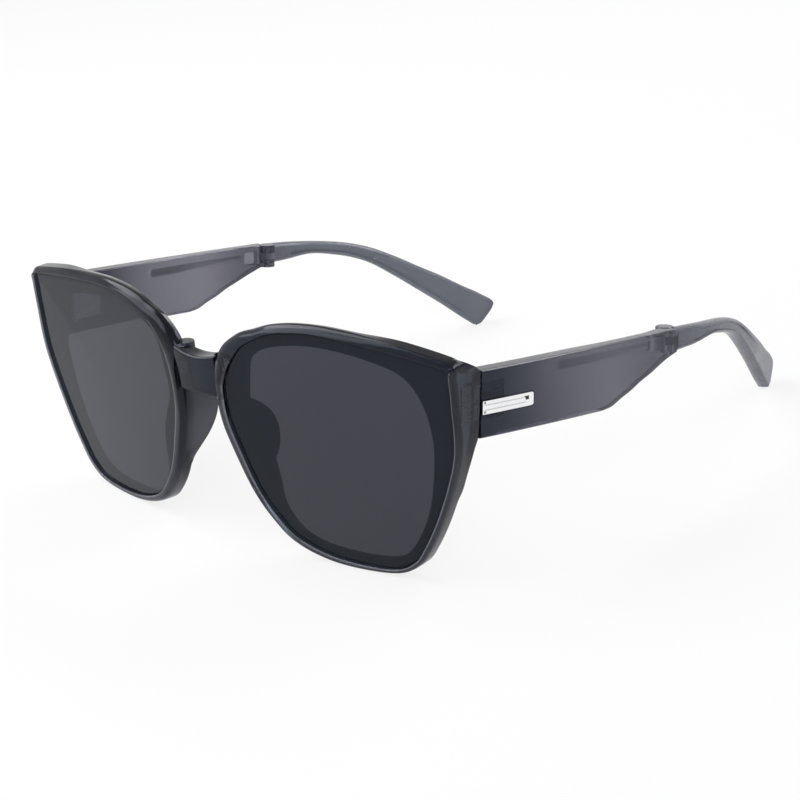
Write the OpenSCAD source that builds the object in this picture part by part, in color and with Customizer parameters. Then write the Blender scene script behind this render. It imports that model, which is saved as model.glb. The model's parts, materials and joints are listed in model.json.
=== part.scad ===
// Folding sunglasses. Millimetres, +Z up. The front faces -Y and the temples run
// back along +Y. They stand on the rim bottoms and the temple tips, on Z = 0, and the
// origin is under the middle. Left and right are the wearer's, so left is the +X side.

/* [Front] */
// Width of a lens between its lips, measured in its own plane
lens_w = 65.2; // [58:0.2:72]
// Height of a lens between its lips
lens_h = 53.8; // [46:0.2:60]
// Distance between the two lenses across the nose
lens_gap = 18.6; // [17:0.2:24]
// Thickness of a lens
lens_t = 1.8; // [1.2:0.1:2.4]
// Angle at which each rim turns back from the bridge, in degrees
wrap = 9; // [6:0.5:12]
// Width of the rim's lip at the outer side
lip_w = 1.3; // [1:0.1:2]
// How far the lip stands in front of the lens
lip_proud = 0.8; // [0.4:0.1:1.4]
// Thickness of the flange behind the lens
flange_t = 1.6; // [1.2:0.1:2.4]
// Play between a lens and its lip
lens_play = 0.12; // [0.05:0.01:0.3]

/* [Nose] */
// How far the nose pads reach behind the lens plane
pad_depth = 13.6; // [10:0.2:16]
// Thickness of a nose pad
pad_t = 2.4; // [1.8:0.1:3]
// Angle at which the pads open towards the face, in degrees
pad_flare = 12; // [8:1:16]

/* [Bridge link] */
// Distance between the two bridge hinge axes
axis_gap = 14.6; // [14:0.2:18]
// Height of the link
link_h = 10.2; // [9:0.2:12]
// Depth of the link from front to back
link_d = 4.2; // [3.6:0.1:5]
// Dip of the saddle on top of the link
saddle_dip = 1; // [0.4:0.1:1.4]
// Radius of the bridge hinge barrels
bridge_r = 2.4; // [2.1:0.05:2.6]
// How far the barrels stand above the link
barrel_proud = 0.2; // [0.1:0.05:1.2]
// Radius of the bridge hinge pins
bridge_pin_r = 0.8; // [0.6:0.05:1]

/* [Temple] */
// Length of the front half of a temple, from seam to fold
temple_len = 63.7; // [58:0.1:70]
// Height of a temple at the seam
temple_h = 15; // [12:0.2:16]
// Thickness of a temple
temple_t = 4.2; // [3.6:0.1:5]
// Angle at which the temples run down towards the ears, in degrees
slope = 10.2; // [8:0.2:12]
// Depth of the end piece behind the rim's outer edge
end_depth = 8.6; // [8:0.1:10]
// Height of a temple at the fold
fold_h = 5.4; // [5:0.1:6.4]
// Length of the groove inside a temple
groove_len = 30; // [20:1:34]

/* [Rear arm] */
// Length of a rear arm from the fold to the middle of its paddle
arm_len = 60.3; // [54:0.1:66]
// How far a rear arm curves in towards the head
arm_in = 22.4; // [16:0.2:24]
// Height of the paddle at the tip
tip_h = 9.7; // [8:0.1:11]
// Thickness of the arm at the tip
tip_t = 3.2; // [2.6:0.1:4]

/* [Hinges] */
// Radius of the fold hinge barrels
fold_r = 2.15; // [1.9:0.05:2.4]
// Radius of the fold hinge pins
fold_pin_r = 0.7; // [0.5:0.05:0.9]
// Radius of the temple hinge barrels
hinge_r = 1.6; // [1.4:0.05:1.8]
// Height of the temple hinges
hinge_h = 8; // [7:0.1:9]
// Thickness of the hinge leaves
leaf_t = 0.9; // [0.7:0.05:1.1]
// Length of the leaf in the end piece
rim_leaf_l = 3.9; // [3:0.1:4.4]
// Length of the leaf in the temple
temple_leaf_l = 9; // [7:0.2:12]
// Radius of the hinge screws
screw_r = 0.7; // [0.5:0.05:0.8]

/* [Inlay] */
// Length of the metal inlay on each temple
inlay_l = 15.8; // [12:0.2:20]
// Height of the inlay
inlay_h = 3; // [2:0.1:4]
// Thickness of the inlay
inlay_t = 0.7; // [0.5:0.05:1]

/* [Hidden] */

$fn = 48;
frame_colour = [0.24, 0.25, 0.29];
arm_colour = [0.33, 0.33, 0.37];
lens_colour = [0.13, 0.13, 0.14];
steel_colour = [0.7, 0.71, 0.73];
silver_colour = [0.86, 0.86, 0.88];

// Fits
over = 1;           // every cut runs past the solid by this much
pin_play = 0.05;    // radial play of a pin in its bore
barrel_gap = 0.12;  // gap between neighbouring knuckles along their axis
sweep_gap = 0.25;   // radial gap round a turning barrel
seam_gap = 0.2;     // gap in a closed seam
floor_cut = 0.4;    // how far the tips are cut flat
foot_cut = 0.12;    // how far the rim bottoms are cut flat

// Lens edge, anticlockwise from the nose seen from the front: the place as shares of
// the lens's width and height, and the lip's width as a share of lip_w
edge_steps = 3;
edge_shares = [
    [0, .695, 1.7], [.003, .569, 1.7], [.034, .45, 1.6], [.098, .268, 1.4],
    [.172, .147, 1.2], [.252, .067, 1.1], [.387, .015, 1.1], [.544, 0, 1.1],
    [.684, .013, 1.05], [.762, .06, 1], [.807, .123, 1], [.873, .251, 1],
    [.942, .422, 1], [.989, .587, 1], [.998, .768, 1], [1, .885, 1],
    [.992, .918, 1.1], [.931, .933, 1.2], [.776, .963, 1.3], [.617, .985, 1.4],
    [.456, 1, 1.45], [.333, .994, 1.5], [.238, .974, 1.6], [.167, .941, 1.75],
    [.106, .9, 2], [.055, .835, 2.3], [.021, .773, 1.9]
];
// Opening in the flange behind the lens, in the same shares
opening_shares = [
    [.081, .587], [.09, .717], [.118, .835], [.195, .89], [.317, .922], [.44, .929],
    [.598, .914], [.755, .87], [.836, .801], [.876, .68], [.867, .504], [.83, .309],
    [.77, .152], [.689, .061], [.548, .033], [.379, .048], [.264, .112],
    [.176, .23], [.112, .392]
];
lip_bottom_share = 1.1;
lens_s0 = lens_gap / 2;
outer_s = lens_s0 + lens_w + lip_w;
lens_low = lip_w * lip_bottom_share - foot_cut;
rim_back = lens_t + flange_t;

// Bridge hinges
axis_x = axis_gap / 2;
link_front = 0.9;
axis_depth_share = 0.9;
axis_y = link_front + link_d * axis_depth_share;
link_top_share = 0.842;
link_top = lens_low + lens_h * link_top_share;
link_low = link_top - link_h;
barrel_foot_share = 0.75;
barrel_top = link_top + barrel_proud;
barrel_low = link_low - barrel_proud * barrel_foot_share;
barrel_third = (barrel_top - barrel_low) / 3;
bridge_pin_top = barrel_top - bridge_r / 2;
pin_head_share = 1.6;
pin_head_r = bridge_pin_r * pin_head_share;
pin_head_h = bridge_pin_r;
knuckle_block_share = 1.4;
saddle_steps = 12;

// Temple frame: its origin is on the seam's top edge, y runs along the temple
side_inset_share = 0.5;
temple_x = outer_s * cos(wrap) - lip_w * side_inset_share;
inner_x = temple_x - temple_t;
seam_y = outer_s * sin(wrap) + end_depth;
seam_z_share = 0.878;
seam_z = lens_low + lens_h * seam_z_share;
side_y = outer_s * sin(wrap);
outer_top_share = 0.99;
outer_top = lens_low + lens_h * outer_top_share;

// End piece: where its lower edge starts on the rim, as a share of the lens height, and
// the way down to there from the seam, in shares of the depth and of the height left
foot_share = 0.34;
taper_shares = [[1, 1], [.64, .87], [.33, .65], [.13, .43], [0, .18], [-.3, 0]];

// Temple hinges
hinge_x = inner_x + leaf_t - hinge_r;
hinge_mid = -temple_h / 2;
hinge_low = hinge_mid - hinge_h / 2;
hinge_top = hinge_mid + hinge_h / 2;
knuckle = hinge_h / 3;
peg_r = leaf_t * 0.7;
peg_l = temple_t * 0.4;
rim_peg_y = -rim_leaf_l * 0.7;
temple_peg_shares = [0.45, 0.8];
screw_head_h = screw_r * 0.8;
screw_head_r = screw_r * 1.7;

// Fold hinges
fold_x = inner_x;
barrel_top_share = 0.06;
barrel_low_share = 0.12;
fold_barrel_top = fold_r * barrel_top_share;
fold_barrel_low = -fold_h - fold_r * barrel_low_share;
fold_third = (fold_barrel_top - fold_barrel_low) / 3;
fold_pin_top = fold_barrel_top - fold_r / 4;

// Inlay and the groove inside each temple
inlay_front = seam_gap * 2;
inlay_mid_share = 0.55;
inlay_mid = -temple_h * inlay_mid_share;
inlay_sunk_share = 0.7;
inlay_back = temple_x - inlay_t * inlay_sunk_share;
flute_depth = inlay_t * 0.2;
flute_h = inlay_t / 2;
groove_r = fold_h * 0.2;
groove_end = temple_len - temple_h * 0.55;
groove_mid = -fold_h * 0.55;

// Side outline of the temple's lower edge: share of its length, share of the way up
// from the full height to the height at the fold
lower_shares = [
    [.592, 0], [.645, .04], [.695, .18], [.75, .32], [.8, .48], [.855, .62],
    [.91, .79], [.955, .91], [1, 1]
];
// Rear arm seen from the side: share of its length, share of its drop, share of the
// way from the height at the fold to the height at the tip
arm_shares = [
    [0, 0, 0], [.121, -.005, -.151], [.254, -.015, -.465], [.37, .025, -.419],
    [.458, .081, -.349], [.541, .17, -.209], [.648, .343, .07], [.743, .516, .302],
    [.841, .694, .581], [.93, .872, .814], [1, 1, 1]
];
// Squared end of the paddle: its reach past the paddle's middle and the radius of its
// corners, in shares of the paddle's height
tip_cut_share = 0.33;
tip_round_share = 0.124;
// Rear arm seen from above: share of its length, share of how far it curves in
curve_shares = [
    [-.02, 0], [.187, .058], [.37, .2], [.552, .388], [.735, .603], [.9, .812],
    [1.1, 1.05]
];
tip_reach = temple_len + arm_len;
arm_drop = (seam_z - tip_reach * sin(slope) + floor_cut) / cos(slope);
mid_drop = arm_drop - tip_h / 2 - fold_h / 2;
arm_last = arm_shares[len(arm_shares) - 1];
arm_step = arm_last - arm_shares[len(arm_shares) - 2];
tip_lean = atan2(mid_drop * arm_step[1], arm_len * arm_step[0]);
tip_round = tip_h * tip_round_share;
tip_out = tip_h * tip_cut_share - tip_round;
tip_side = tip_h / 2 * cos(tip_lean) - tip_round;
// centre of the paddle's upper (1) or lower (-1) corner, from the paddle's middle
function tip_centre(side) = [
    tip_out * cos(tip_lean) + side * tip_side * sin(tip_lean),
    -tip_out * sin(tip_lean) + side * tip_side * cos(tip_lean)
];
back_y = seam_y + (tip_reach + tip_centre(1)[0]) * cos(slope)
    + (tip_centre(1)[1] - arm_drop + tip_h / 2) * sin(slope) + tip_round;
middle_y = back_y / 2;

// Nose pad seen from the side: share of its depth, share of the lens height
pad_shares = [
    [.2, .67], [.45, .645], [.7, .605], [.9, .555], [1, .495], [.985, .43],
    [.85, .365], [.62, .31], [.4, .262], [.2, .215]
];
pad_first = 0;
pad_last = 11;
pad_root_y = lens_t * 2;

// Points of the curves

function around(i, n) = (i % n + n) % n;
function curve(a, b, c, d, t) =
    (2 * b + (c - a) * t + (2 * a - 5 * b + 4 * c - d) * t * t
    + (3 * b - a - 3 * c + d) * t * t * t) / 2;
function loop(p, k) = [for (i = [0:len(p) - 1], j = [0:k - 1])
    curve(p[around(i - 1, len(p))], p[i], p[around(i + 1, len(p))],
        p[around(i + 2, len(p))], j / k)];
function line(p, k) = concat(
    [for (i = [0:len(p) - 2], j = [0:k - 1])
        curve(p[max(i - 1, 0)], p[i], p[i + 1], p[min(i + 2, len(p) - 1)], j / k)],
    [p[len(p) - 1]]);
function unit(v) = v / norm(v);
function outward(p, i) = let (d = unit(p[around(i + 1, len(p))] - p[around(i - 1, len(p))]))
    [d[1], -d[0]];
function flip(p) = [for (i = [len(p) - 1:-1:0]) p[i]];
function place(p) = [lens_s0 + lens_w * p[0], lens_low + lens_h * p[1]];

edge_rows = loop(edge_shares, edge_steps);
edge_pts = [for (p = edge_rows) place(p)];
function grown(by) = [for (i = [0:len(edge_pts) - 1])
    edge_pts[i] + outward(edge_pts, i) * by];
outer_pts = [for (i = [0:len(edge_pts) - 1])
    edge_pts[i] + outward(edge_pts, i) * edge_rows[i][2] * lip_w];
opening_pts = [for (p = loop(opening_shares, edge_steps)) place(p)];

// Placing

module mirrored() mirror([1, 0, 0]) children();
module centred() translate([0, -middle_y, 0]) children();
module on_left() centred() children();
module on_right() centred() mirrored() children();
module lens_plane() rotate([0, 0, wrap]) children();
module temple_frame() translate([0, seam_y, seam_z]) rotate([-slope, 0, 0]) children();
module front_slab(pts, y0, y1)
    translate([0, y1, 0]) rotate([90, 0, 0]) linear_extrude(height = y1 - y0) polygon(pts);
module side_slab(pts, x0, x1)
    translate([x0, 0, 0]) rotate([90, 0, 90]) linear_extrude(height = x1 - x0) polygon(pts);
module rod(x, y, z0, z1, r) translate([x, y, z0]) cylinder(h = z1 - z0, r = r);
module block(low, high) translate(low) cube(high - low);

// Bridge link: a saddle between two hinge axes

module bridge_axis(z0, z1, r) rod(axis_x, axis_y, z0, z1, r);

module link_half() {
    half = axis_x - seam_gap / 2;
    top = [for (i = [0:saddle_steps]) let (part = i / saddle_steps)
        [half * part, link_top - saddle_dip * cos(90 * part)]];
    difference() {
        union() {
            front_slab(concat([[0, link_low], [half, link_low]], flip(top)),
                link_front, link_front + link_d);
            bridge_axis(barrel_low + barrel_third + barrel_gap / 2,
                barrel_top - barrel_third - barrel_gap / 2, bridge_r);
        }
        bridge_axis(barrel_low - over, barrel_low + barrel_third + barrel_gap / 2,
            bridge_r + sweep_gap);
        bridge_axis(barrel_top - barrel_third - barrel_gap / 2, barrel_top + over,
            bridge_r + sweep_gap);
        bridge_axis(barrel_low - over, barrel_top + over, bridge_pin_r + pin_play);
    }
}

module bridge_link() color(frame_colour) {
    link_half();
    mirrored() link_half();
}

module bridge_pin() color(steel_colour) {
    bridge_axis(barrel_low, bridge_pin_top, bridge_pin_r);
    bridge_axis(barrel_low, barrel_low + pin_head_h, pin_head_r);
}

// Rim: lip, flange, end piece, nose pad and bridge knuckles in one moulding

module end_piece() {
    y0 = side_y - lip_proud;
    back = side_y + rim_back;
    foot = lens_low + lens_h * foot_share;
    seam_foot = [seam_y - temple_h * sin(slope), seam_z - temple_h * cos(slope)];
    taper = [for (p = line(taper_shares, 4))
        [back + (seam_foot[0] - back) * p[0], foot + (seam_foot[1] - foot) * p[1]]];
    outline = concat([[y0, foot], [y0, outer_top], [side_y, outer_top], [seam_y, seam_z]], taper);
    intersection() {
        side_slab(outline, inner_x, temple_x);
        front_slab([for (p = outer_pts) [p[0] * cos(wrap), p[1]]], y0 - over, seam_y + over);
    }
}

module nose_pad() {
    rows = [for (i = [pad_first:pad_last]) outer_pts[i]];
    inner = [for (i = [pad_first:pad_last]) outer_pts[i] - outward(outer_pts, i) * pad_t];
    strip = [for (p = concat(rows, flip(inner))) [p[0] * cos(wrap), p[1]]];
    side = [for (p = line(pad_shares, 3)) [pad_depth * p[0], lens_low + lens_h * p[1]]];
    intersection() {
        translate([axis_x, pad_root_y, 0]) rotate([0, 0, -pad_flare])
            translate([-axis_x, -pad_root_y, 0])
                front_slab(strip, pad_root_y, pad_depth + over * 2);
        side_slab(side, 0, lens_s0 + lens_w / 2);
    }
}

module rim() color(frame_colour) difference() {
    union() {
        lens_plane() front_slab(outer_pts, -lip_proud, rim_back);
        end_piece();
        nose_pad();
        block([axis_x + seam_gap / 2, link_front - lip_proud / 2, link_low],
            [axis_x + bridge_r * knuckle_block_share, axis_y, link_top]);
        bridge_axis(barrel_low, barrel_low + barrel_third - barrel_gap / 2, bridge_r);
        bridge_axis(barrel_top - barrel_third + barrel_gap / 2, barrel_top, bridge_r);
    }
    lens_plane() {
        front_slab(edge_pts, -lip_proud - over, lens_t);
        front_slab(opening_pts, -lip_proud - over, rim_back + over);
    }
    // room for the link and its middle knuckle
    block([-over, -over * 2, link_low - sweep_gap],
        [axis_x + seam_gap / 2, axis_y - bridge_r, link_top + sweep_gap]);
    bridge_axis(barrel_low + barrel_third - barrel_gap / 2,
        barrel_top - barrel_third + barrel_gap / 2, bridge_r + sweep_gap);
    bridge_axis(barrel_low - over, bridge_pin_top + pin_play, bridge_pin_r + pin_play);
    bridge_axis(barrel_low - over, barrel_low + pin_head_h + pin_play, pin_head_r + pin_play);
    // seam and temple hinge
    temple_frame() {
        block([inner_x - over, -seam_gap / 2, -temple_h * 2], [temple_x + over, temple_h, temple_h]);
        hinge_room();
        rim_leaf_room();
    }
    // flat under the rim
    block([0, -over, -temple_h], [outer_s, seam_y, 0]);
}

module lens() color(lens_colour)
    lens_plane() front_slab(grown(-lens_play), 0, lens_t);

// Temple hinge: two leaves sunk in the plastic, three knuckles and a screw

module hinge_axis(z0, z1, r) rod(hinge_x, 0, z0, z1, r);
module hinge_room() hinge_axis(hinge_low - barrel_gap, hinge_top + screw_head_h + barrel_gap * 2,
    hinge_r + sweep_gap);
module leaf(y0, y1) block([inner_x, y0, hinge_low], [inner_x + leaf_t, y1, hinge_top]);
module peg(y, play) translate([inner_x, y, hinge_mid]) rotate([0, 90, 0])
    cylinder(h = leaf_t + peg_l + play, r = peg_r + play);
module rim_leaf_room() {
    leaf(-rim_leaf_l, over);
    peg(rim_peg_y, pin_play);
}
module temple_leaf_room() {
    leaf(-over, temple_leaf_l);
    for (share = temple_peg_shares) peg(temple_leaf_l * share, pin_play);
}

module rim_hinge() color(steel_colour) temple_frame() difference() {
    union() {
        difference() {
            leaf(-rim_leaf_l, -seam_gap / 2);
            hinge_axis(hinge_low + knuckle - barrel_gap / 2, hinge_top - knuckle + barrel_gap / 2,
                hinge_r + sweep_gap);
        }
        peg(rim_peg_y, 0);
        hinge_axis(hinge_low, hinge_low + knuckle - barrel_gap / 2, hinge_r);
        hinge_axis(hinge_top - knuckle + barrel_gap / 2, hinge_top, hinge_r);
    }
    hinge_axis(hinge_low - over, hinge_top + over, screw_r + pin_play);
}

module temple_hinge() color(steel_colour) temple_frame() difference() {
    union() {
        difference() {
            leaf(seam_gap / 2, temple_leaf_l);
            hinge_axis(hinge_low - over, hinge_low + knuckle + barrel_gap / 2, hinge_r + sweep_gap);
            hinge_axis(hinge_top - knuckle - barrel_gap / 2, hinge_top + over, hinge_r + sweep_gap);
        }
        for (share = temple_peg_shares) peg(temple_leaf_l * share, 0);
        hinge_axis(hinge_low + knuckle + barrel_gap / 2, hinge_top - knuckle - barrel_gap / 2, hinge_r);
    }
    hinge_axis(hinge_low - over, hinge_top + over, screw_r + pin_play);
}

module hinge_screw() color(steel_colour) temple_frame() difference() {
    union() {
        hinge_axis(hinge_low, hinge_top, screw_r);
        hinge_axis(hinge_top, hinge_top + screw_head_h, screw_head_r);
    }
    block([hinge_x - screw_head_r - over, -screw_r / 4, hinge_top + screw_head_h / 2],
        [hinge_x + screw_head_r + over, screw_r / 4, hinge_top + screw_head_h + over]);
}

// Front half of a temple, up to the fold

module fold_axis(z0, z1, r) rod(fold_x, temple_len, z0, z1, r);

module inlay_shape(play, x0, x1) {
    r = inlay_h / 2 + play;
    side_slab(concat(
        [[inlay_front - play, inlay_mid + r], [inlay_front - play, inlay_mid - r]],
        [for (a = [-90:15:90])
            [inlay_front + inlay_l - inlay_h / 2 + r * cos(a), inlay_mid + r * sin(a)]]),
        x0, x1);
}

module inner_groove() {
    start = groove_end - groove_len;
    depth = groove_r / 2;
    translate([inner_x, 0, groove_mid]) {
        block([-over, start, -groove_r], [depth, groove_end, groove_r]);
        translate([-over, start, 0]) rotate([0, 90, 0]) cylinder(h = over + depth, r = groove_r);
    }
}

module temple_front() color(frame_colour) temple_frame() difference() {
    lower = [for (p = line(lower_shares, 2))
        [temple_len * p[0], -temple_h + (temple_h - fold_h) * p[1]]];
    y0 = seam_gap / 2;
    y1 = temple_len - seam_gap / 2;
    union() {
        intersection() {
            side_slab(concat([[y0, 0], [y0, -temple_h]], lower,
                [[temple_len + over, -fold_h], [temple_len + over, 0]]), inner_x, temple_x);
            block([inner_x, y0, -temple_h - over], [temple_x, y1, over]);
        }
        fold_axis(fold_barrel_low, fold_barrel_low + fold_third - barrel_gap / 2, fold_r);
        fold_axis(fold_barrel_top - fold_third + barrel_gap / 2, fold_barrel_top, fold_r);
    }
    fold_axis(fold_barrel_low + fold_third - barrel_gap / 2,
        fold_barrel_top - fold_third + barrel_gap / 2, fold_r + sweep_gap);
    fold_axis(fold_barrel_low - over, fold_pin_top, fold_pin_r + pin_play);
    hinge_room();
    temple_leaf_room();
    inlay_shape(pin_play, inlay_back, temple_x + over);
    inner_groove();
}

module inlay() color(silver_colour) temple_frame() difference() {
    inlay_shape(0, inlay_back, inlay_back + inlay_t);
    for (side = [-1, 1]) let (z = inlay_mid + side * inlay_h / 5)
        block([inlay_back + inlay_t - flute_depth, inlay_front + inlay_h / 2, z - flute_h / 2],
            [inlay_back + inlay_t + over, inlay_front + inlay_l - inlay_h / 2, z + flute_h / 2]);
}

// Rear arm, from the fold to the tip

function arm_mid(p) = [temple_len + arm_len * p[0], -fold_h / 2 - mid_drop * p[1]];
function arm_height(p) = fold_h + (tip_h - fold_h) * p[2];
function tip_corner(side, turn) = [for (a = [turn:-15:turn - 90])
    arm_mid(arm_last) + tip_centre(side) + [cos(a), sin(a)] * tip_round];

module temple_rear() color(arm_colour) difference() {
    rows = line(arm_shares, 4);
    top = [for (p = rows) arm_mid(p) + [0, arm_height(p) / 2]];
    low = [for (i = [0:len(rows) - 2]) arm_mid(rows[i]) - [0, arm_height(rows[i]) / 2]];
    end = concat(tip_corner(1, 90 - tip_lean), tip_corner(-1, -tip_lean));
    mid = [for (p = line(curve_shares, 4))
        [temple_x - temple_t / 2 - arm_in * p[1], temple_len + arm_len * p[0], p[0]]];
    out = [for (i = [0:len(mid) - 1]) let (
        d = unit([mid[min(i + 1, len(mid) - 1)][0] - mid[max(i - 1, 0)][0],
            mid[min(i + 1, len(mid) - 1)][1] - mid[max(i - 1, 0)][1]]),
        half = (temple_t + (tip_t - temple_t) * max(mid[i][2], 0)) / 2)
        [[mid[i][0] + d[1] * half, mid[i][1] - d[0] * half],
         [mid[i][0] - d[1] * half, mid[i][1] + d[0] * half]]];
    plan = concat([for (p = out) p[0]], flip([for (p = out) p[1]]));
    temple_frame() difference() {
        union() {
            intersection() {
                side_slab(concat(flip(top), low, flip(end)), 0, temple_x + over);
                translate([0, 0, -arm_drop - over]) linear_extrude(height = arm_drop + over * 2)
                    polygon(plan);
                block([0, temple_len + seam_gap / 2, -arm_drop - over],
                    [temple_x + over, temple_len + arm_len * 2, over]);
            }
            fold_axis(fold_barrel_low + fold_third + barrel_gap / 2,
                fold_barrel_top - fold_third - barrel_gap / 2, fold_r);
        }
        fold_axis(fold_barrel_low - over, fold_barrel_low + fold_third + barrel_gap / 2,
            fold_r + sweep_gap);
        fold_axis(fold_barrel_top - fold_third - barrel_gap / 2, fold_barrel_top + over,
            fold_r + sweep_gap);
        fold_axis(fold_barrel_low - over, fold_barrel_top + over, fold_pin_r + pin_play);
    }
    block([0, seam_y, -temple_h], [temple_x, seam_y + tip_reach + arm_len, 0]);
}

module fold_pin() color(steel_colour) temple_frame()
    fold_axis(fold_barrel_low, fold_pin_top - pin_play, fold_pin_r);

centred() bridge_link();
on_left() rim();  // rim_left
on_right() rim();  // rim_right
on_left() lens();  // lens_left
on_right() lens();  // lens_right
on_left() bridge_pin();  // bridge_pin_left
on_right() bridge_pin();  // bridge_pin_right
on_left() rim_hinge();  // rim_hinge_left
on_right() rim_hinge();  // rim_hinge_right
on_left() temple_front();  // temple_front_left
on_right() temple_front();  // temple_front_right
on_left() temple_hinge();  // temple_hinge_left
on_right() temple_hinge();  // temple_hinge_right
on_left() hinge_screw();  // hinge_screw_left
on_right() hinge_screw();  // hinge_screw_right
on_left() inlay();  // inlay_left
on_right() inlay();  // inlay_right
on_left() temple_rear();  // temple_rear_left
on_right() temple_rear();  // temple_rear_right
on_left() fold_pin();  // fold_pin_left
on_right() fold_pin();  // fold_pin_right
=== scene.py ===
"""Folding sunglasses: smoke-grey plastic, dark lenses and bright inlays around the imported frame.

Sizes are in millimetres, as in the model's own source, and become metres in build().
Left is the wearer's left, on +X; every left piece is mirrored for the right.
A share is a fraction of the size of the lens, the temple or the rear arm.
"""
import json
import math

import bmesh
import bpy
import numpy as np
from mathutils import Matrix, Vector


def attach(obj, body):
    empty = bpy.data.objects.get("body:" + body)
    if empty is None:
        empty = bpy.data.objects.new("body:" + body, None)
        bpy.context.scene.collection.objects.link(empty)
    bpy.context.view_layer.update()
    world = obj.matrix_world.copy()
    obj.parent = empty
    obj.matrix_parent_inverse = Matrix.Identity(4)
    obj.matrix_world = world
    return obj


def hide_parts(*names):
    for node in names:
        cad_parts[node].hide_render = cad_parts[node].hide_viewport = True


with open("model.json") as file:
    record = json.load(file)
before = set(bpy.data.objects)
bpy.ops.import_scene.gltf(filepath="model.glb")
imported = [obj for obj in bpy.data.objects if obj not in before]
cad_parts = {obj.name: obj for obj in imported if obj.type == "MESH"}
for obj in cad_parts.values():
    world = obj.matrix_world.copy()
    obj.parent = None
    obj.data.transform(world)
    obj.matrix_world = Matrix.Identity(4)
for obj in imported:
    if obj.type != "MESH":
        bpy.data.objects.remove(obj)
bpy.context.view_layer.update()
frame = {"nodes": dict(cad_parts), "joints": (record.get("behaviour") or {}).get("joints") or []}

MM = 0.001
QUARTER = math.pi / 2
SIDES = (("left", 1), ("right", -1))

# Lens, lip and flange
LENS_W, LENS_H, LENS_GAP, LENS_T = 65.2, 53.8, 18.6, 1.8
LIP_W, LIP_PROUD, FLANGE_T, LENS_PLAY = 1.3, 0.8, 1.6, 0.12
WRAP = math.radians(9)
FOOT_CUT = 0.12
LENS_DOME, LENS_EDGE_R, LENS_EDGE_SHARE = 0.55, 0.25, 0.012
LENS_CUTS = (1, 0.997, 0.985, 0.96, 0.92, 0.85, 0.75, 0.62, 0.48, 0.33, 0.18, 0.06)
# Section of the rim: its small radii, the lip's arc, and the foot where the wall leaves the flange
EDGE_R, BACK_R, OPENING_R, OPENING_SEAT = 0.22, 0.35, 0.4, 0.12
ARC_START, BEND, CORNER_BEND, SIDE_FLATNESS = 0.5, 1.35, 1.1, 1.3
WALL_FOOT, FLANGE_MIN = 0.55, 0.5
# Upper rim: narrower behind, lifted a little, and wider again behind the outer corner
RIM_NARROWING, TOP_LIFT, CORNER_WIDENING, TOP_PROUD_SHARE = 0.45, 0.25, 0.1, 0.5
# Steps from the outer edge between which the corner and the side wall build up
CORNER_RAMP, SIDE_RAMP, NASAL_SHARE, END_CLIMB = (-30, -14), (-13, -5), 0.25, 1.3
# Points of the section that get the painted highlight line on the lip's edge, and how much less of it
# the others get
LIP_POINTS, ARC_POINTS, ARC_HIGHLIGHT, NOSE_HIGHLIGHT = range(3, 7), range(7, 19), 0.14, 0.6
# Nose pads and bridge link
PAD_DEPTH, PAD_T, PAD_FLARE = 13.6, 2.4, math.radians(12)
AXIS_GAP, LINK_H, LINK_D, LINK_FRONT = 14.6, 10.2, 4.2, 0.9
SADDLE_DIP, SADDLE_BOW, SADDLE_SET, BRIDGE_R, BARREL_PROUD = 1.0, 0.55, 0.25, 2.4, 0.2
LINK_RADII = (0.4, 0.4, 0.6, 0.6)
BLOCK_SHARE, BLOCK_SET, BLOCK_DROP, BLOCK_ROUND = 1.4, 0.5, 1.3, 0.3
KNUCKLE_DROP = {"left": 1.3, "right": 0}
BRIDGE_DOME, FOLD_DOME = 0.35, 0.3
# Temples
TEMPLE_LEN, TEMPLE_H, TEMPLE_T, FOLD_H = 63.7, 15.0, 4.2, 5.4
SLOPE = math.radians(10.2)
END_DEPTH = 8.6
TEMPLE_RADII, TEMPLE_FLATS = (0.6, 0.7, 0.45, 0.45), (12, 3, 46, 3)
END_ROUNDING = ((0, 0.16), (0.05, 0.05), (0.16, 0))
GROOVE_LEN, THINNING, BOW, WINDOW_DEPTH, WINDOW_HALF = 30.0, 0.8, 0.7, 0.75, 1.85
HINGE_R, HINGE_H, SCREW_ROOM, HINGE_SET = 1.6, 8.0, 0.9, 0.9
# Inner face: steps from the groove's start or end, or from its middle height; thinning in shares
GROOVE_EASE, GROOVE_BLEND, GROOVE_STOP = 0.45, 1.3, (-0.3, 0.6)
WINDOW_RISE, WINDOW_FALL, WINDOW_EDGE, WINDOW_DROP = (1.1, 1.45), (4.6, 4.95), 0.3, 0.1
THIN_RISE, THIN_FALL = (0.4, 0.72), (-10, -3)
# Painted light and shade on that face: the depth they reach, the painted shade in the groove, the
# painted light in the thin window and the painted reflection over the face
FACE_EDGE, BAND_RISE, BAND_LIFT, BAND_LOW = (1.2, 2.2), 4, 1.1, -1.15
BAND_BOTTOM, BAND_TOP, BAND_START, BAND_END = (-0.1, 0.35), (0.75, 1.2), (-0.4, 0.5), (-0.3, 0.3)
TONE_RISE, TONE_FALL, TONE_HALF = (1.0, 1.5), (4.2, 4.7), (1.3, 1.7)
INNER_LIGHT_RISE, INNER_LIGHT_FALL = (4, 26), (-14, 2)
# Rear arms
ARM_LEN, ARM_IN, TIP_H, TIP_T = 60.3, 22.4, 9.7, 3.2
TIP_CUT_SHARE, TIP_ROUND_SHARE = 0.33, 0.17
TIP_EDGE, TIP_THINNING = 1.3, 0.75
FOLD_R, ARM_R = 2.15, 1.15
# Flutes of the rear arm, in shares: where they rise and fall; half width, its change, from and to
FLUTE_DEPTH, FLUTE_EDGE, INNER_FLUTE_EDGE = 0.55, 0.22, 1.6
OUTER_FLUTE = ((0.104, 0.109), (0.62, 0.82), (0.27, -0.05, 0.2, 0.7))
INNER_FLUTE = ((0.133, 0.143), (0.93, 0.975), (0.2, 0.12, 0.3, 0.9))
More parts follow.
